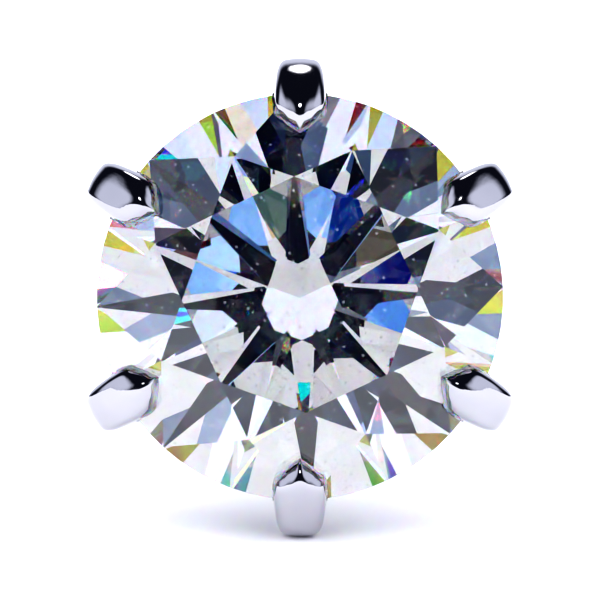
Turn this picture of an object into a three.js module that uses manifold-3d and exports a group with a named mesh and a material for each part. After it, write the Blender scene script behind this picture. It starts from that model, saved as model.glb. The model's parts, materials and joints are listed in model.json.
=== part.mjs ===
// A stud earring: a round brilliant stone in a six-claw setting with its post soldered on, and the nut on the post.
// Millimetres. The pieces are drawn about the earring's own axis, +z towards the front of the stone and +y towards
// the upper claw, with z = 0 in the middle of the stone's girdle. The last section lays the earring down, so that
// it rests on its lowest claw and on the flat of the nut, with its face towards -Y and +Z up.
import * as THREE from "three";
import { mergeVertices } from "three/addons/utils/BufferGeometryUtils.js";
import Module from "manifold-3d";

const wasm = await Module();
wasm.setup();

// --- Driving dimensions -----------------------------------------------------------------------------------------

const STONE = {
  radius: 3.25,
  tableRatio: 0.58, // table corner to corner, as a share of the diameter
  crownAngle: rad(34.5), // slope of the kites
  pavilionAngle: rad(40.65), // slope of the pavilion mains
  starLength: 0.47, // how far the stars reach from the table's edge to the girdle
  lowerHalfLength: 0.83, // how far the lower girdle facets reach from the girdle to the culet
  girdle: 0.22, // thickness where the facets meet on it
  mains: 8,
  stepsPerHalf: 4, // girdle steps along one girdle facet
  turn: rad(2.8), // how far the stone is turned in its claws
};

const CLAWS = 6;
const SEAT_GAP = 0.04; // between the metal and the stone
const CLAW_CORNER_CUTS = 1; // rounds of cutting the corners of a claw's section
const CLAW_CORNER_SHARE = 0.2; // how much of a side each cut takes

// One row a section of a claw, from its root to its tip: the outer and inner points of the section (distance from
// the axis, height), the width at the outer and inner side, and how far the outer side falls from its middle ridge.
const CLAW_SECTIONS = [
  { outR: 1.3, outZ: -4.42, inR: 0.5, inZ: -4.1, outWidth: 0.55, inWidth: 0.55, ridge: 0.03 },
  { outR: 2.61, outZ: -2.43, inR: 2.0, inZ: -2.04, outWidth: 0.6, inWidth: 0.66, ridge: 0.03 },
  { outR: 3.53, outZ: -1.0, inR: 2.86, inZ: -0.55, outWidth: 0.66, inWidth: 0.78, ridge: 0.03 },
  { outR: 3.79, outZ: -0.5, inR: 2.95, inZ: -0.27, outWidth: 0.7, inWidth: 0.84, ridge: 0.04 },
  { outR: 3.85, outZ: -0.15, inR: 2.97, inZ: -0.08, outWidth: 0.72, inWidth: 0.88, ridge: 0.05 },
  { outR: 3.81, outZ: 0.12, inR: 2.95, inZ: 0.02, outWidth: 0.74, inWidth: 0.9, ridge: 0.05 },
  { outR: 3.65, outZ: 0.36, inR: 2.92, inZ: 0.08, outWidth: 0.76, inWidth: 0.91, ridge: 0.06 },
  { outR: 3.4, outZ: 0.58, inR: 2.88, inZ: 0.14, outWidth: 0.78, inWidth: 0.91, ridge: 0.08 },
  { outR: 3.14, outZ: 0.76, inR: 2.82, inZ: 0.22, outWidth: 0.74, inWidth: 0.88, ridge: 0.14 },
  { outR: 2.92, outZ: 0.82, inR: 2.74, inZ: 0.32, outWidth: 0.5, inWidth: 0.66, ridge: 0.18 },
  { outR: 2.72, outZ: 0.76, inR: 2.65, inZ: 0.42, outWidth: 0.24, inWidth: 0.36, ridge: 0.16 },
  { outR: 2.58, outZ: 0.62, inR: 2.56, inZ: 0.5, outWidth: 0.03, inWidth: 0.06, ridge: 0.05 },
];

const RAIL = { radius: 2.36, height: -2.3, wide: 0.62, deep: 0.7, corner: 0.16 };
const BASE = { radius: 1.55, top: -3.95, back: -4.6, corner: 0.15 };
const POST = { radius: 0.43, length: 10.2, tipRound: 0.2 };
const ROUND_SEGMENTS = 48;

const NUT = {
  radius: 2.65,
  flat: 1.8, // from the post's middle to the flats above and below
  thickness: 0.35,
  lobeGap: 5.4, // between the base and the nut
  clearance: 0.06, // round the post
  wingWidth: 2.3,
  wingThickness: 0.3,
  curlX: 1.45, // middle of each wing's curl, from the post's middle
  curlRadius: 1.05, // where the wing leaves the plate
  curlTouch: rad(270), // how far round the wing comes beside the post
  curlTurn: rad(345),
  curlSteps: 28,
};

const METAL = { color: 0xd9dadd, roughness: 0.12, metalness: 1 };
const CRYSTAL = { color: 0xf7f9ff, roughness: 0.02, metalness: 0 };

// --- Helpers ----------------------------------------------------------------------------------------------------

function rad(degrees) {
  return (degrees * Math.PI) / 180;
}

// A point at an angle round the axis.
function polar(angle, radius, z) {
  return new THREE.Vector3(radius * Math.cos(angle), radius * Math.sin(angle), z);
}

// A closed body from flat convex faces, each a list of corners that runs counter-clockwise seen from outside.
function bodyOfFaces(faces) {
  const positions = [];
  for (const face of faces) {
    for (let i = 1; i + 1 < face.length; i++) {
      for (const corner of [face[0], face[i], face[i + 1]]) positions.push(...corner.toArray());
    }
  }
  const geometry = new THREE.BufferGeometry();
  geometry.setAttribute("position", new THREE.Float32BufferAttribute(positions, 3));
  return geometry;
}

// A closed body through rings of equally many points, each ring counter-clockwise seen from the next one.
function loft(rings) {
  const faces = [rings[0].slice().reverse(), rings[rings.length - 1]];
  for (let i = 0; i + 1 < rings.length; i++) {
    rings[i].forEach((point, j) => {
      const next = (j + 1) % rings[i].length;
      faces.push([point, rings[i][next], rings[i + 1][next]]);
      faces.push([point, rings[i + 1][next], rings[i + 1][j]]);
    });
  }
  return bodyOfFaces(faces);
}

// A turned body about the z axis from a profile of [radius, height] points.
function turned(profile) {
  const points = profile.map(([radius, height]) => new THREE.Vector2(radius, height));
  return new THREE.LatheGeometry(points, ROUND_SEGMENTS).rotateX(Math.PI / 2);
}

function solidOf(geometry) {
  const bare = geometry.clone();
  bare.deleteAttribute("normal");
  bare.deleteAttribute("uv");
  const merged = mergeVertices(bare, 1e-5);
  return new wasm.Manifold(
    new wasm.Mesh({
      numProp: 3,
      vertProperties: merged.attributes.position.array,
      triVerts: new Uint32Array(merged.index.array),
    }),
  );
}

function geometryOf(solid) {
  const mesh = solid.getMesh();
  const geometry = new THREE.BufferGeometry();
  geometry.setAttribute("position", new THREE.BufferAttribute(mesh.vertProperties, 3));
  geometry.setIndex(new THREE.BufferAttribute(mesh.triVerts, 1));
  return geometry;
}

function joined(geometries) {
  return geometries.map(solidOf).reduce((whole, piece) => whole.add(piece));
}

// --- Stone ------------------------------------------------------------------------------------------------------

// Places and slopes of the round brilliant cut. Mains (kites above, mains below) stand at whole steps of `main`,
// and the star tips and the lower girdle facets' inner corners stand half a step on.
function brilliantCut() {
  const { radius, tableRatio, crownAngle, pavilionAngle, starLength, lowerHalfLength, girdle, mains } = STONE;
  const main = (2 * Math.PI) / mains;
  const half = main / 2;
  const quarter = main / 4;
  const hill = girdle / 2;
  const tableRadius = tableRatio * radius;
  const tableZ = hill + (radius - tableRadius) * Math.tan(crownAngle);
  const tableEdge = tableRadius * Math.cos(half);
  const starRadius = tableEdge + starLength * (radius - tableEdge);
  const starZ = tableZ - (starRadius * Math.cos(half) - tableRadius) * Math.tan(crownAngle);
  const culetZ = -hill - radius * Math.tan(pavilionAngle);
  const lowerRadius = (1 - lowerHalfLength) * radius;
  const lowerZ = culetZ + lowerRadius * Math.cos(half) * Math.tan(pavilionAngle);
  const upperSlope = (starZ - hill) / ((radius - starRadius) * Math.cos(quarter));
  const lowerSlope = (-hill - lowerZ) / ((radius - lowerRadius) * Math.cos(quarter));
  return {
    main, half, quarter, hill, tableRadius, tableZ, starRadius, starZ, culetZ, lowerRadius, lowerZ, upperSlope,
    lowerSlope,
  };
}

// The scalloped edge of the girdle facet that starts at `start`: side 1 is the crown's, side -1 the pavilion's.
function girdleEdge(cut, start, side) {
  const slope = side > 0 ? cut.upperSlope : cut.lowerSlope;
  const points = [];
  for (let i = 0; i <= STONE.stepsPerHalf; i++) {
    const angle = start + (i / STONE.stepsPerHalf) * cut.half;
    const bulge = Math.cos(angle - start - cut.quarter) - Math.cos(cut.quarter);
    points.push(polar(angle, STONE.radius, side * (cut.hill - slope * STONE.radius * bulge)));
  }
  return points;
}

function stoneGeometry() {
  const cut = brilliantCut();
  const faces = [];
  const table = [];
  const culet = new THREE.Vector3(0, 0, cut.culetZ);
  for (let k = 0; k < STONE.mains; k++) {
    const angle = k * cut.main;
    const corner = polar(angle, cut.tableRadius, cut.tableZ);
    const nextCorner = polar(angle + cut.main, cut.tableRadius, cut.tableZ);
    const star = polar(angle + cut.half, cut.starRadius, cut.starZ);
    const lastStar = polar(angle - cut.half, cut.starRadius, cut.starZ);
    const low = polar(angle + cut.half, cut.lowerRadius, cut.lowerZ);
    const lastLow = polar(angle - cut.half, cut.lowerRadius, cut.lowerZ);
    table.push(corner);
    faces.push([corner, star, nextCorner]);
    faces.push([corner, lastStar, polar(angle, STONE.radius, cut.hill), star]);
    faces.push([culet, low, polar(angle, STONE.radius, -cut.hill), lastLow]);
    for (const start of [angle, angle + cut.half]) {
      const upper = girdleEdge(cut, start, 1);
      const lower = girdleEdge(cut, start, -1);
      faces.push([star, ...upper]);
      faces.push([low, ...lower.slice().reverse()]);
      for (let i = 0; i < STONE.stepsPerHalf; i++) {
        faces.push([lower[i], lower[i + 1], upper[i + 1], upper[i]]);
      }
    }
  }
  faces.push(table);
  return bodyOfFaces(faces).rotateZ(Math.PI / 2 + STONE.turn);
}

// The room that the claws leave for the stone: a round double cone just larger than it.
function seatGeometry() {
  const cut = brilliantCut();
  const grown = STONE.radius + SEAT_GAP;
  const rise = grown * Math.tan(STONE.crownAngle);
  const fall = grown * cut.lowerSlope;
  const edge = cut.hill + SEAT_GAP / 2;
  return turned([[0, -edge - fall], [grown, -edge], [grown, edge], [0, edge + rise]]);
}

// --- Setting ----------------------------------------------------------------------------------------------------

// The closed outline with each corner cut off.
function cutCorners(outline) {
  return outline.flatMap((point, i) => {
    const next = outline[(i + 1) % outline.length];
    return [CLAW_CORNER_SHARE, 1 - CLAW_CORNER_SHARE].map((share) => point.clone().lerp(next, share));
  });
}

// One section of the upper claw: flat on the stone's side, narrower outside, with a low gable as its outer side.
function clawRing({ outR, outZ, inR, inZ, outWidth, inWidth, ridge }) {
  const inner = new THREE.Vector3(0, inR, inZ);
  const outwards = new THREE.Vector3(0, outR, outZ).sub(inner);
  const depth = outwards.length();
  outwards.normalize();
  let outline = [
    new THREE.Vector2(-inWidth / 2, 0),
    new THREE.Vector2(inWidth / 2, 0),
    new THREE.Vector2(outWidth / 2, depth - ridge),
    new THREE.Vector2(0, depth),
    new THREE.Vector2(-outWidth / 2, depth - ridge),
  ];
  for (let i = 0; i < CLAW_CORNER_CUTS; i++) outline = cutCorners(outline);
  return outline.map(({ x, y }) => new THREE.Vector3(x, 0, 0).add(inner).addScaledVector(outwards, y));
}

function clawGeometry() {
  return loft(CLAW_SECTIONS.map(clawRing));
}

function railGeometry() {
  const { radius, height, wide, deep, corner } = RAIL;
  const w = wide / 2;
  const d = deep / 2;
  return turned([
    [radius - w + corner, height - d],
    [radius + w - corner, height - d],
    [radius + w, height - d + corner],
    [radius + w, height + d - corner],
    [radius + w - corner, height + d],
    [radius - w + corner, height + d],
    [radius - w, height + d - corner],
    [radius - w, height - d + corner],
    [radius - w + corner, height - d],
  ]);
}

function baseGeometry() {
  const { radius, top, back, corner } = BASE;
  return turned([
    [0, back],
    [radius - corner, back],
    [radius, back + corner],
    [radius, top - corner],
    [radius - corner, top],
    [0, top],
  ]);
}

function postGeometry() {
  const end = BASE.back - POST.length;
  const root = (BASE.back + BASE.top) / 2;
  return turned([
    [0, end],
    [POST.radius - POST.tipRound, end],
    [POST.radius, end + POST.tipRound],
    [POST.radius, root],
    [0, root],
  ]);
}

function settingGeometry() {
  const claws = [];
  for (let k = 0; k < CLAWS; k++) claws.push(clawGeometry().rotateZ((2 * Math.PI * k) / CLAWS));
  const metal = joined([baseGeometry(), railGeometry(), postGeometry(), ...claws]);
  return geometryOf(metal.subtract(solidOf(seatGeometry())));
}

// --- Ear nut ----------------------------------------------------------------------------------------------------

const NUT_FRONT = BASE.back - NUT.lobeGap;

function plateGeometry() {
  const corner = Math.asin(NUT.flat / NUT.radius);
  const outline = new THREE.Shape();
  outline.absarc(0, 0, NUT.radius, -corner, corner);
  outline.absarc(0, 0, NUT.radius, Math.PI - corner, Math.PI + corner);
  outline.closePath();
  const hole = new THREE.Path();
  hole.absarc(0, 0, POST.radius + NUT.clearance, 0, 2 * Math.PI);
  outline.holes.push(hole);
  const plate = new THREE.ExtrudeGeometry(outline, {
    depth: NUT.thickness,
    bevelEnabled: false,
    curveSegments: 16,
  });
  return plate.translate(0, 0, NUT_FRONT - NUT.thickness);
}

// A wing leaves the back of the plate, curls outwards, round behind and in against the post, and ends inside.
// `side` is 1 for the wing towards +x and -1 for its mirror image.
function wingGeometry(side) {
  const middleZ = NUT_FRONT - NUT.thickness / 2 - NUT.curlRadius;
  const touch = NUT.curlX - POST.radius - NUT.clearance - NUT.wingThickness / 2;
  const shrink = (NUT.curlRadius - touch) / NUT.curlTouch;
  const outer = [];
  const inner = [];
  for (let i = 0; i <= NUT.curlSteps; i++) {
    const turn = (i / NUT.curlSteps) * NUT.curlTurn;
    const angle = Math.PI / 2 - turn;
    const radius = NUT.curlRadius - shrink * turn;
    for (const [edge, offset] of [[outer, NUT.wingThickness / 2], [inner, -NUT.wingThickness / 2]]) {
      const x = side * (NUT.curlX + (radius + offset) * Math.cos(angle));
      edge.push(new THREE.Vector2(x, middleZ + (radius + offset) * Math.sin(angle)));
    }
  }
  const outline = new THREE.Shape([...outer, ...inner.reverse()]);
  const wing = new THREE.ExtrudeGeometry(outline, { depth: NUT.wingWidth, bevelEnabled: false });
  return wing.translate(0, 0, -NUT.wingWidth / 2).rotateX(Math.PI / 2);
}

function nutGeometry() {
  return geometryOf(joined([plateGeometry(), wingGeometry(1), wingGeometry(-1)]));
}

// --- Assembly ---------------------------------------------------------------------------------------------------

function piece(name, geometry, look) {
  const mesh = new THREE.Mesh(geometry, new THREE.MeshStandardMaterial(look));
  mesh.name = name;
  return mesh;
}

// Lying down, the earring touches the surface with its lowest claw and the back edge of the nut's flat, so its axis
// rises to the front by the steepest line from that edge to a point of the claw.
function restingTilt() {
  const edgeZ = NUT_FRONT - NUT.thickness;
  const points = CLAW_SECTIONS.flatMap(clawRing);
  const slopes = points.map((point) => (point.y - NUT.flat) / (point.z - edgeZ));
  return Math.atan(Math.max(...slopes));
}

const axis = new THREE.Group();
axis.add(piece("stone", stoneGeometry(), CRYSTAL));
axis.add(piece("setting", settingGeometry(), METAL));
axis.add(piece("ear_nut", nutGeometry(), METAL));
axis.rotation.x = Math.PI / 2 - restingTilt();

const earring = new THREE.Group();
earring.add(axis);
const box = new THREE.Box3().setFromObject(earring, true);
const middle = box.getCenter(new THREE.Vector3());
axis.position.set(-middle.x, -middle.y, -box.min.z);

export default earring;
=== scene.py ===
"""A stud earring on a pale floor: a round brilliant stone in a six-claw metal setting, and its nut."""
import json
import math

import bmesh
import bpy
from mathutils import Matrix, Vector


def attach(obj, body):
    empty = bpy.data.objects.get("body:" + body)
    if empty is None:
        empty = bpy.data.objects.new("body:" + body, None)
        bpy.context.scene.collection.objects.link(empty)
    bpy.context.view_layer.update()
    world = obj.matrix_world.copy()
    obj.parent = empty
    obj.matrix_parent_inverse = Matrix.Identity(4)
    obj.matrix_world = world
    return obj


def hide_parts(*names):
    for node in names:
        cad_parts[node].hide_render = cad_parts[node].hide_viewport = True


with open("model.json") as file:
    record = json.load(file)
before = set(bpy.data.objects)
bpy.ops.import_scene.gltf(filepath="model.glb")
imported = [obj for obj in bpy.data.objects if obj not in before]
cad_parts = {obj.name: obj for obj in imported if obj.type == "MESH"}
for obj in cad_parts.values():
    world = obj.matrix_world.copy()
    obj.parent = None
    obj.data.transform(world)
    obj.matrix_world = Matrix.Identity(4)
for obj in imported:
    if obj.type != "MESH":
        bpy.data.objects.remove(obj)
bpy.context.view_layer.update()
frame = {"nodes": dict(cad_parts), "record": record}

MM = 0.001

# --- Driving dimensions, in millimetres about the earring's own axis ----------------------------------
# +z is towards the front of the stone, +y towards the upper claw, and z = 0 is the middle of its girdle.

STONE_RADIUS = 3.25
CROWN_ANGLE = math.radians(34.5)
LOWER_SLOPE = 0.8833  # of the lower girdle facets
GIRDLE_HALF = 0.11
SEAT_GAP = 0.04
STONE_IOR = 2.42

CLAWS = 6
CLAW_STEPS = 8  # rings to each section of the table
CLAW_CORNER_CUTS = 3  # rounds of cutting the corners of a claw's section
CLAW_CORNER_SHARE = 0.2  # how much of a side each cut takes
CLAW_INSET = 0.014  # keeps the smooth claws within the faceted ones of the CAD model

# One row a section of a claw, from its root to its tip, as in the CAD model: the outer and inner points of
# the section, the width at its outer and inner side, and how far the outer side falls from its middle ridge.
CLAW_COLUMNS = ("outR", "outZ", "inR", "inZ", "outWidth", "inWidth", "ridge")
CLAW_ROWS = [
    (1.30, -4.42, 0.50, -4.10, 0.55, 0.55, 0.03),
    (2.61, -2.43, 2.00, -2.04, 0.60, 0.66, 0.03),
    (3.53, -1.00, 2.86, -0.55, 0.66, 0.78, 0.03),
    (3.79, -0.50, 2.95, -0.27, 0.70, 0.84, 0.04),
    (3.85, -0.15, 2.97, -0.08, 0.72, 0.88, 0.05),
    (3.81, 0.12, 2.95, 0.02, 0.74, 0.90, 0.05),
    (3.65, 0.36, 2.92, 0.08, 0.76, 0.91, 0.06),
    (3.40, 0.58, 2.88, 0.14, 0.78, 0.91, 0.08),
    (3.14, 0.76, 2.82, 0.22, 0.74, 0.88, 0.14),
    (2.92, 0.82, 2.74, 0.32, 0.50, 0.66, 0.18),
    (2.72, 0.76, 2.65, 0.42, 0.24, 0.36, 0.16),
    (2.58, 0.62, 2.56, 0.50, 0.03, 0.06, 0.05),
]
CLAW_SECTIONS = [dict(zip(CLAW_COLUMNS, row)) for row in CLAW_ROWS]

RAIL = {"radius": 2.36, "height": -2.3, "wide": 0.62, "deep": 0.7, "corner": 0.16}
BASE = {"radius": 1.55, "top": -3.95, "back": -4.6, "corner": 0.15}
POST = {"radius": 0.43, "length": 10.2, "tip": 0.3}
ROUND_STEPS = 96

NUT = {"radius": 2.65, "flat": 1.8, "thickness": 0.35, "front": -10.0, "hole": 0.49, "corner": 0.1}
WING = {"width": 2.3, "thickness": 0.3, "x": 1.45, "radius": 1.05, "turn": math.radians(345), "corner": 0.08}
WING_TOUCH = {"turn": math.radians(270), "radius": 0.81}  # where the curl comes beside the post
WING_STEPS = 72

LOBE_FACE_POINT = Vector((0, 0.9, BASE["back"]))  # the setting's mount, beside the post

# Lengths in metres, and the sensor in millimetres.
CAMERA = {"elevation": math.radians(9.4), "distance": 0.25, "seen": 0.0096, "sensor": 36}
CAMERA_AIM = Vector((0, -0.05, 0))  # millimetres about the axis
FLOOR_HALF = 1.5  # metres


def axis_matrix():
    """From millimetres about the earring's axis to the frame, read off the setting's mount."""
    mount = next(m for m in frame["record"]["mounts"] if m["name"] == "setting_lobe_face")
    front = -Vector(mount["axis"]).normalized()
    right = Vector((1, 0, 0))
    up = front.cross(right)
    turn = Matrix((right, up, front)).transposed()
    place = Vector(mount["pos_m"]) - turn @ LOBE_FACE_POINT * MM
    return Matrix.Translation(place) @ turn.to_4x4() @ Matrix.Scale(MM, 4)


AXIS = axis_matrix()


# --- Mesh helpers -------------------------------------------------------------------------------------

def lofted(bm, rings, closed=False):
    """Adds a closed skin through rings of equally many points."""
    made = [[bm.verts.new(p) for p in ring] for ring in rings]
    pairs = list(zip(made, made[1:]))
    if closed:
        pairs.append((made[-1], made[0]))
    for one, two in pairs:
        for j in range(len(one)):
            k = (j + 1) % len(one)
            bm.faces.new((one[j], one[k], two[k], two[j]))
    if not closed:
        bm.faces.new(reversed(made[0]))
        bm.faces.new(made[-1])


def turned(bm, profile):
    """Adds a body turned about z from a closed loop, or from a line that starts and ends on the axis."""
    closed = profile[0][0] > 0
    rings = []
    for step in range(ROUND_STEPS):
        angle = 2 * math.pi * step / ROUND_STEPS
        rings.append([(r * math.cos(angle), r * math.sin(angle), z) for r, z in profile])
    if closed:
        lofted(bm, rings, closed=True)
        return
    first = bm.verts.new((0, 0, profile[0][1]))
    last = bm.verts.new((0, 0, profile[-1][1]))
    columns = [[bm.verts.new(p) for p in ring[1:-1]] for ring in rings]
    for step, one in enumerate(columns):
        two = columns[(step + 1) % ROUND_STEPS]
        bm.faces.new((first, two[0], one[0]))
        for i in range(len(one) - 1):
            bm.faces.new((one[i], two[i], two[i + 1], one[i + 1]))
        bm.faces.new((one[-1], two[-1], last))


def rounded(corners, radius, steps=6):
    """The closed or open line through the corners, each inner corner cut to a round of that radius."""
    line = [corners[0]]
    for before, corner, after in zip(corners, corners[1:], corners[2:]):
        here = Vector(corner)
        one = (Vector(before) - here).normalized()
        two = (Vector(after) - here).normalized()
        half = one.angle(two) / 2
        reach = radius / math.tan(half)
        middle = here + (one + two).normalized() * radius / math.sin(half)
        start = here + one * reach - middle
        sweep = math.pi - 2 * half
        sign = 1 if start.x * (two.y - one.y) - start.y * (two.x - one.x) > 0 else -1
        for i in range(steps + 1):
            angle = sign * sweep * i / steps
            turn = Matrix.Rotation(angle, 2)
            point = middle + turn @ start
            line.append((point.x, point.y))
    line.append(corners[-1])
    return line


def finished(bm, name, smooth_angle=math.radians(40)):
    """A Blender object from a mesh in millimetres about the axis."""
    bmesh.ops.recalc_face_normals(bm, faces=bm.faces)
    bm.transform(AXIS)
    mesh = bpy.data.meshes.new(name)
    bm.to_mesh(mesh)
    bm.free()
    piece = bpy.data.objects.new(name, mesh)
    bpy.context.scene.collection.objects.link(piece)
    for face in mesh.polygons:
        face.use_smooth = True
    mesh.set_sharp_from_angle(angle=smooth_angle)
    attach(piece, "root")
    return piece


# --- Claws --------------------------------------------------------------------------------------------

def between(key, index, t):
    """A column of the claw table, on a smooth curve between its rows."""
    rows = CLAW_SECTIONS
    p = [rows[min(max(index + k, 0), len(rows) - 1)][key] for k in (-1, 0, 1, 2)]
    slope_1 = (p[2] - p[0]) / 2
    slope_2 = (p[3] - p[1]) / 2
    a = 2 * (p[1] - p[2]) + slope_1 + slope_2
    b = 3 * (p[2] - p[1]) - 2 * slope_1 - slope_2
    return ((a * t + b) * t + slope_1) * t + p[1]


def seat_radius(z):
    """How far from the axis the stone's seat reaches at a height."""
    grown = STONE_RADIUS + SEAT_GAP
    edge = GIRDLE_HALF + SEAT_GAP / 2
    if z > edge:
        return grown - (z - edge) / math.tan(CROWN_ANGLE)
    if z < -edge:
        return grown - (-edge - z) / LOWER_SLOPE
    return grown


def cut_corners(outline):
    """The closed outline with each corner cut off."""
    return [
        point.lerp(following, share)
        for point, following in zip(outline, outline[1:] + outline[:1])
        for share in (CLAW_CORNER_SHARE, 1 - CLAW_CORNER_SHARE)
    ]


def claw_ring(section, angle):
    """A claw's section: flat on the stone's side, narrower outside, and a low gable as its outer side."""
    inner = Vector((0, section["inR"], section["inZ"]))
    outwards = Vector((0, section["outR"], section["outZ"])) - inner
    depth = outwards.length - CLAW_INSET
    outwards.normalize()
    in_half = section["inWidth"] / 2
    out_half = section["outWidth"] / 2
    shoulder = depth - section["ridge"]
    outline = [(-in_half, 0), (in_half, 0), (out_half, shoulder), (0, depth), (-out_half, shoulder)]
    outline = [Vector(corner) for corner in outline]
    for _ in range(CLAW_CORNER_CUTS):
        outline = cut_corners(outline)
    turn = Matrix.Rotation(angle, 3, "Z")
    ring = []
    for across, height in outline:
        point = inner + outwards * height
        point.x = across
        clear = seat_radius(point.z)
        radius = math.hypot(point.x, point.y)
        if radius < clear:
            point.x *= clear / radius
            point.y *= clear / radius
        ring.append(turn @ point)
    return ring


def add_claw(bm, angle):
    rings = []
    last = len(CLAW_SECTIONS) - 1
    for index in range(last):
        for step in range(CLAW_STEPS):
            t = step / CLAW_STEPS
            rings.append(claw_ring({key: between(key, index, t) for key in CLAW_COLUMNS}, angle))
    rings.append(claw_ring(CLAW_SECTIONS[last], angle))
    lofted(bm, rings)


def add_rail(bm):
    low, high = RAIL["height"] - RAIL["deep"] / 2, RAIL["height"] + RAIL["deep"] / 2
    near, far = RAIL["radius"] - RAIL["wide"] / 2, RAIL["radius"] + RAIL["wide"] / 2
    middle = RAIL["radius"]
    loop = [(middle, low), (far, low), (far, high), (near, high), (near, low), (middle, low)]
    turned(bm, rounded(loop, RAIL["corner"])[:-1])


def add_base(bm):
    radius, back, top = BASE["radius"], BASE["back"], BASE["top"]
    corners = [(0, back), (radius, back), (radius, top), (0, top)]
    turned(bm, rounded(corners, BASE["corner"]))


def add_post(bm):
    end = BASE["back"] - POST["length"]
    root = (BASE["back"] + BASE["top"]) / 2
    turned(bm, rounded([(0, end), (POST["radius"], end), (POST["radius"], root)], POST["tip"]) + [(0, root)])


def make_setting():
    bm = bmesh.new()
    for k in range(CLAWS):
        add_claw(bm, 2 * math.pi * k / CLAWS)
    add_rail(bm)
    add_base(bm)
    add_post(bm)
    piece = finished(bm, "claw_setting")
    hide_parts("setting")
    return piece


# --- Ear nut ------------------------------------------------------------------------------------------

def add_plate(bm):
    """A round plate with two flats and a hole, its edges rounded."""
    back = NUT["front"] - NUT["thickness"]
    rings = []
    for step in range(2 * ROUND_STEPS):
        angle = math.pi * step / ROUND_STEPS
        far = min(NUT["radius"], NUT["flat"] / max(abs(math.sin(angle)), 0.01))
        near = NUT["hole"]
        middle = (near + far) / 2
        front = NUT["front"]
        loop = [(middle, back), (far, back), (far, front), (near, front), (near, back), (middle, back)]
        loop = rounded(loop, NUT["corner"])[:-1]
        rings.append([(r * math.cos(angle), r * math.sin(angle), z) for r, z in loop])
    lofted(bm, rings, closed=True)


def add_wing(bm, side):
    """A strip that curls from the plate's back round to the post: side 1 towards +x, -1 its mirror image."""
    thick, wide = WING["thickness"] / 2, WING["width"] / 2
    middle_z = NUT["front"] - NUT["thickness"] / 2 - WING["radius"]
    shrink = (WING["radius"] - WING_TOUCH["radius"]) / WING_TOUCH["turn"]
    corners = [(0, -wide), (thick, -wide), (thick, wide), (-thick, wide), (-thick, -wide), (0, -wide)]
    section = rounded(corners, WING["corner"])[:-1]
    rings = []
    for step in range(WING_STEPS + 1):
        turn = WING["turn"] * step / WING_STEPS
        angle = math.pi / 2 - turn
        radius = WING["radius"] - shrink * turn
        ring = []
        for out, y in section:
            x = WING["x"] + (radius + out) * math.cos(angle)
            ring.append((side * x, y, middle_z + (radius + out) * math.sin(angle)))
        rings.append(ring)
    lofted(bm, rings)


def make_ear_nut():
    bm = bmesh.new()
    add_plate(bm)
    for side in (1, -1):
        add_wing(bm, side)
    piece = finished(bm, "fine_ear_nut")
    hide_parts("ear_nut")
    return piece


# --- Materials ----------------------------------------------------------------------------------------

def new_material(name):
    material = bpy.data.materials.new(name)
    material.use_nodes = True
    nodes = material.node_tree.nodes
    nodes.clear()
    return material, nodes, material.node_tree.links


def dusted(nodes, links, clean):
    """The clean shader with faint specks of dust over it."""
    place = nodes.new("ShaderNodeTexCoord")
    specks = nodes.new("ShaderNodeTexVoronoi")
    specks.inputs["Scale"].default_value = 5200
    links.new(place.outputs["Object"], specks.inputs["Vector"])
    lit = nodes.new("ShaderNodeMapRange")
    lit.inputs["From Min"].default_value = 0.16
    lit.inputs["From Max"].default_value = 0.06
    lit.inputs["To Min"].default_value = 0
    lit.inputs["To Max"].default_value = 0.22
    links.new(specks.outputs["Distance"], lit.inputs["Value"])
    dust = nodes.new("ShaderNodeBsdfDiffuse")
    dust.inputs["Color"].default_value = (0.8, 0.84, 0.95, 1)
    dusty = nodes.new("ShaderNodeMixShader")
    links.new(lit.outputs["Result"], dusty.inputs[0])
    links.new(clean, dusty.inputs[1])
    links.new(dust.outputs[0], dusty.inputs[2])
    return dusty.outputs[0]


def stone_material():
    """Clear stone that bends each colour a little differently on the way out, with faint dust on it."""
    material, nodes, links = new_material("clear_stone")
    output = nodes.new("ShaderNodeOutputMaterial")
    geometry = nodes.new("ShaderNodeNewGeometry")

    def bend(colour, ior):
        shader = nodes.new("ShaderNodeBsdfRefraction")
        shader.inputs["Color"].default_value = (*colour, 1)
        shader.inputs["IOR"].default_value = ior
        shader.inputs["Roughness"].default_value = 0
        return shader

    way_in = bend((1, 1, 1), STONE_IOR)
    red = bend((1, 0, 0), 2.36)
    green = bend((0, 1, 0), STONE_IOR)
    blue = bend((0, 0, 1), 2.50)
    two = nodes.new("ShaderNodeAddShader")
    links.new(red.outputs[0], two.inputs[0])
    links.new(green.outputs[0], two.inputs[1])
    way_out = nodes.new("ShaderNodeAddShader")
    links.new(two.outputs[0], way_out.inputs[0])
    links.new(blue.outputs[0], way_out.inputs[1])
    through = nodes.new("ShaderNodeMixShader")
    links.new(geometry.outputs["Backfacing"], through.inputs[0])
    links.new(way_in.outputs[0], through.inputs[1])
    links.new(way_out.outputs[0], through.inputs[2])
    mirror = nodes.new("ShaderNodeBsdfAnisotropic")
    mirror.inputs["Roughness"].default_value = 0
    share = nodes.new("ShaderNodeFresnel")
    share.inputs["IOR"].default_value = STONE_IOR
    both = nodes.new("ShaderNodeMixShader")
    links.new(share.outputs[0], both.inputs[0])
    links.new(through.outputs[0], both.inputs[1])
    links.new(mirror.outputs[0], both.inputs[2])
    links.new(dusted(nodes, links, both.outputs[0]), output.inputs["Surface"])
    return material


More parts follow.
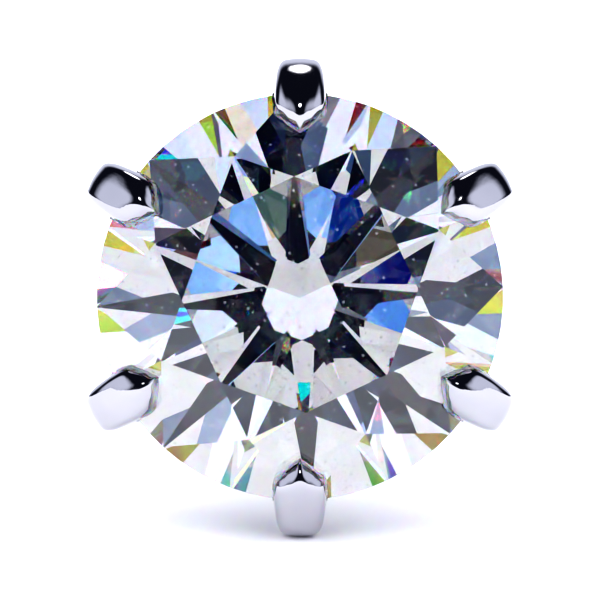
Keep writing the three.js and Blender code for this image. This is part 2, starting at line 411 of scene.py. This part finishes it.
def metal_material():
    """White metal, mirror polished, with fine buffing marks and patches that are polished a little less."""
    material, nodes, links = new_material("polished_white_metal")
    output = nodes.new("ShaderNodeOutputMaterial")
    shader = nodes.new("ShaderNodeBsdfPrincipled")
    shader.inputs["Metallic"].default_value = 1
    place = nodes.new("ShaderNodeTexCoord")
    patches = nodes.new("ShaderNodeTexNoise")
    patches.inputs["Scale"].default_value = 900
    patches.inputs["Detail"].default_value = 3
    links.new(place.outputs["Object"], patches.inputs["Vector"])
    gloss = nodes.new("ShaderNodeMapRange")
    gloss.inputs["From Min"].default_value = 0.35
    gloss.inputs["From Max"].default_value = 0.75
    gloss.inputs["To Min"].default_value = 0.03
    gloss.inputs["To Max"].default_value = 0.13
    links.new(patches.outputs["Fac"], gloss.inputs["Value"])
    links.new(gloss.outputs["Result"], shader.inputs["Roughness"])
    tint = nodes.new("ShaderNodeValToRGB")
    tint.color_ramp.elements[0].color = (0.52, 0.52, 0.56, 1)
    tint.color_ramp.elements[1].color = (0.66, 0.65, 0.69, 1)
    links.new(patches.outputs["Fac"], tint.inputs["Fac"])
    links.new(tint.outputs["Color"], shader.inputs["Base Color"])
    stretch = nodes.new("ShaderNodeMapping")
    stretch.inputs["Scale"].default_value = (1, 0.15, 1)
    links.new(place.outputs["Object"], stretch.inputs["Vector"])
    marks = nodes.new("ShaderNodeTexNoise")
    marks.inputs["Scale"].default_value = 9000
    marks.inputs["Detail"].default_value = 2
    links.new(stretch.outputs["Vector"], marks.inputs["Vector"])
    bump = nodes.new("ShaderNodeBump")
    bump.inputs["Strength"].default_value = 0.25
    bump.inputs["Distance"].default_value = 0.000006
    links.new(marks.outputs["Fac"], bump.inputs["Height"])
    links.new(bump.outputs["Normal"], shader.inputs["Normal"])
    links.new(shader.outputs[0], output.inputs["Surface"])
    return material


def floor_material():
    material, nodes, links = new_material("pale_floor")
    output = nodes.new("ShaderNodeOutputMaterial")
    shader = nodes.new("ShaderNodeBsdfDiffuse")
    shader.inputs["Color"].default_value = (0.93, 0.93, 0.95, 1)
    links.new(shader.outputs[0], output.inputs["Surface"])
    return material


# --- Studio -------------------------------------------------------------------------------------------

# The room as seen from the earring, in directions: azimuth 0 is the camera's side and 90 is to the camera's
# right, and half_width is the angle from a patch's middle to its soft edge. The stone gathers light from a
# white tent with a dark opening round the camera and small lamps. The polished surfaces mirror a darker room.
TENT = {
    "base": (1.15, 1.18, 1.38),
    "patches": [
        {"azimuth": 4, "elevation": 9, "half_width": 27, "soft": 0.25, "colour": (0.003, 0.005, 0.022)},
        {"azimuth": 15, "elevation": 44, "half_width": 9, "soft": 0.5, "colour": (0.02, 0.03, 0.12)},
        {"azimuth": 42, "elevation": 30, "half_width": 7, "soft": 0.5, "colour": (0.02, 0.03, 0.10)},
        {"azimuth": 150, "elevation": 25, "half_width": 22, "soft": 0.4, "colour": (0.02, 0.02, 0.04)},
        {"azimuth": -120, "elevation": 25, "half_width": 18, "soft": 0.4, "colour": (0.02, 0.02, 0.04)},
        {"azimuth": 21, "elevation": 20, "half_width": 0.8, "soft": 0.6, "colour": (14, 14, 14)},
        {"azimuth": 8, "elevation": 27, "half_width": 1.0, "soft": 0.4, "colour": (14, 13, 11)},
        {"azimuth": 24, "elevation": -6, "half_width": 1.0, "soft": 0.4, "colour": (14, 13, 12)},
        {"azimuth": -12, "elevation": 34, "half_width": 1.0, "soft": 0.4, "colour": (14, 14, 14)},
        {"azimuth": -8, "elevation": 15, "half_width": 1.0, "soft": 0.3, "colour": (10, 10, 10)},
        {"azimuth": 14, "elevation": -3, "half_width": 0.9, "soft": 0.4, "colour": (14, 11, 7)},
        {"azimuth": 30, "elevation": 25, "half_width": 0.9, "soft": 0.4, "colour": (14, 14, 14)},
        {"azimuth": -28, "elevation": 15, "half_width": 0.9, "soft": 0.4, "colour": (14, 14, 14)},
    ],
}
MIRRORED = {
    "base": (0.02, 0.022, 0.035),
    "patches": [
        {"azimuth": 75, "elevation": 20, "half_width": 26, "soft": 0.4, "colour": (0.62, 0.64, 0.72)},
        {"azimuth": -75, "elevation": 20, "half_width": 26, "soft": 0.4, "colour": (0.62, 0.64, 0.72)},
        {"azimuth": 180, "elevation": 15, "half_width": 38, "soft": 0.3, "colour": (0.62, 0.64, 0.72)},
        {"azimuth": 0, "elevation": 45, "half_width": 6, "soft": 0.3, "colour": (5, 5, 5)},
        {"azimuth": 180, "elevation": 70, "half_width": 10, "soft": 0.3, "colour": (2, 2, 2)},
    ],
}
FLOOR_LIGHT = {"colour": (0.95, 0.96, 1.0, 1), "strength": 1.06}


def direction(azimuth, elevation):
    a, e = math.radians(azimuth), math.radians(elevation)
    return Vector((math.sin(a) * math.cos(e), -math.cos(a) * math.cos(e), math.sin(e)))


def room_colour(nodes, links, where, room):
    """What is seen in each direction: the room's base colour with its patches laid over it in turn."""
    seen = None
    for patch in room["patches"]:
        dot = nodes.new("ShaderNodeVectorMath")
        dot.operation = "DOT_PRODUCT"
        dot.inputs[1].default_value = direction(patch["azimuth"], patch["elevation"])
        links.new(where, dot.inputs[0])
        edge = nodes.new("ShaderNodeMapRange")
        edge.interpolation_type = "SMOOTHSTEP"
        half_width = math.radians(patch["half_width"])
        edge.inputs["From Min"].default_value = math.cos(half_width * (1 + patch["soft"]))
        edge.inputs["From Max"].default_value = math.cos(half_width * (1 - patch["soft"]))
        links.new(dot.outputs["Value"], edge.inputs["Value"])
        over = nodes.new("ShaderNodeMix")
        over.data_type = "VECTOR"
        under, above = [s for s in over.inputs if s.type == "VECTOR" and s.name in ("A", "B")]
        under.default_value = room["base"]
        above.default_value = patch["colour"]
        links.new(edge.outputs["Result"], over.inputs["Factor"])
        if seen:
            links.new(seen, under)
        seen = next(socket for socket in over.outputs if socket.type == "VECTOR")
    return seen


def background(nodes, links, colour, strength):
    """A world background whose colour is a value or a socket."""
    made = nodes.new("ShaderNodeBackground")
    made.inputs["Strength"].default_value = strength
    if isinstance(colour, tuple):
        made.inputs["Color"].default_value = colour
    else:
        links.new(colour, made.inputs["Color"])
    return made


def make_world():
    """The tent for light through the stone, the darker room for mirrors, and white for floor and camera."""
    world = bpy.data.worlds.new("studio")
    bpy.context.scene.world = world
    world.use_nodes = True
    world.cycles.sampling_method = "NONE"
    nodes, links = world.node_tree.nodes, world.node_tree.links
    nodes.clear()
    output = nodes.new("ShaderNodeOutputWorld")
    where = nodes.new("ShaderNodeTexCoord").outputs["Generated"]
    path = nodes.new("ShaderNodeLightPath")
    tent = background(nodes, links, room_colour(nodes, links, where, TENT), 1)
    mirrored = background(nodes, links, room_colour(nodes, links, where, MIRRORED), 1)
    white = background(nodes, links, FLOOR_LIGHT["colour"], FLOOR_LIGHT["strength"])
    polished = nodes.new("ShaderNodeMixShader")
    links.new(path.outputs["Is Transmission Ray"], polished.inputs[0])
    links.new(mirrored.outputs[0], polished.inputs[1])
    links.new(tent.outputs[0], polished.inputs[2])
    plain = nodes.new("ShaderNodeMath")
    plain.operation = "MAXIMUM"
    links.new(path.outputs["Is Camera Ray"], plain.inputs[0])
    links.new(path.outputs["Is Diffuse Ray"], plain.inputs[1])
    chosen = nodes.new("ShaderNodeMixShader")
    links.new(plain.outputs[0], chosen.inputs[0])
    links.new(polished.outputs[0], chosen.inputs[1])
    links.new(white.outputs[0], chosen.inputs[2])
    links.new(chosen.outputs[0], output.inputs["Surface"])


def make_floor():
    bm = bmesh.new()
    bmesh.ops.create_grid(bm, x_segments=1, y_segments=1, size=FLOOR_HALF)
    mesh = bpy.data.meshes.new("floor")
    bm.to_mesh(mesh)
    bm.free()
    floor = bpy.data.objects.new("floor", mesh)
    bpy.context.scene.collection.objects.link(floor)
    mesh.materials.append(floor_material())


def make_camera():
    camera = bpy.data.cameras.new("camera")
    camera.sensor_width = CAMERA["sensor"]
    camera.clip_start = 0.005
    camera.clip_end = 20
    rig = bpy.data.objects.new("camera", camera)
    bpy.context.scene.collection.objects.link(rig)
    bpy.context.scene.camera = rig
    back = Vector((0, -math.cos(CAMERA["elevation"]), math.sin(CAMERA["elevation"])))
    rig.location = AXIS @ CAMERA_AIM + back * CAMERA["distance"]
    rig.rotation_mode = "QUATERNION"
    rig.rotation_quaternion = (-back).to_track_quat("-Z", "Y")
    camera.lens = camera.sensor_width * CAMERA["distance"] / CAMERA["seen"]


def render_settings():
    scene = bpy.context.scene
    scene.view_settings.view_transform = "Standard"
    scene.view_settings.look = "Very High Contrast"
    scene.cycles.max_bounces = 24
    scene.cycles.transmission_bounces = 24
    scene.cycles.glossy_bounces = 24
    scene.cycles.caustics_reflective = True
    scene.cycles.caustics_refractive = True
    scene.cycles.blur_glossy = 0
    scene.cycles.sample_clamp_indirect = 6
    scene.cycles.use_denoising = True


def dress(node, material):
    mesh = frame["nodes"][node].data
    mesh.materials.clear()
    mesh.materials.append(material)


metal = metal_material()
make_setting().data.materials.append(metal)
make_ear_nut().data.materials.append(metal)
dress("stone", stone_material())
make_world()
make_floor()
make_camera()
render_settings()
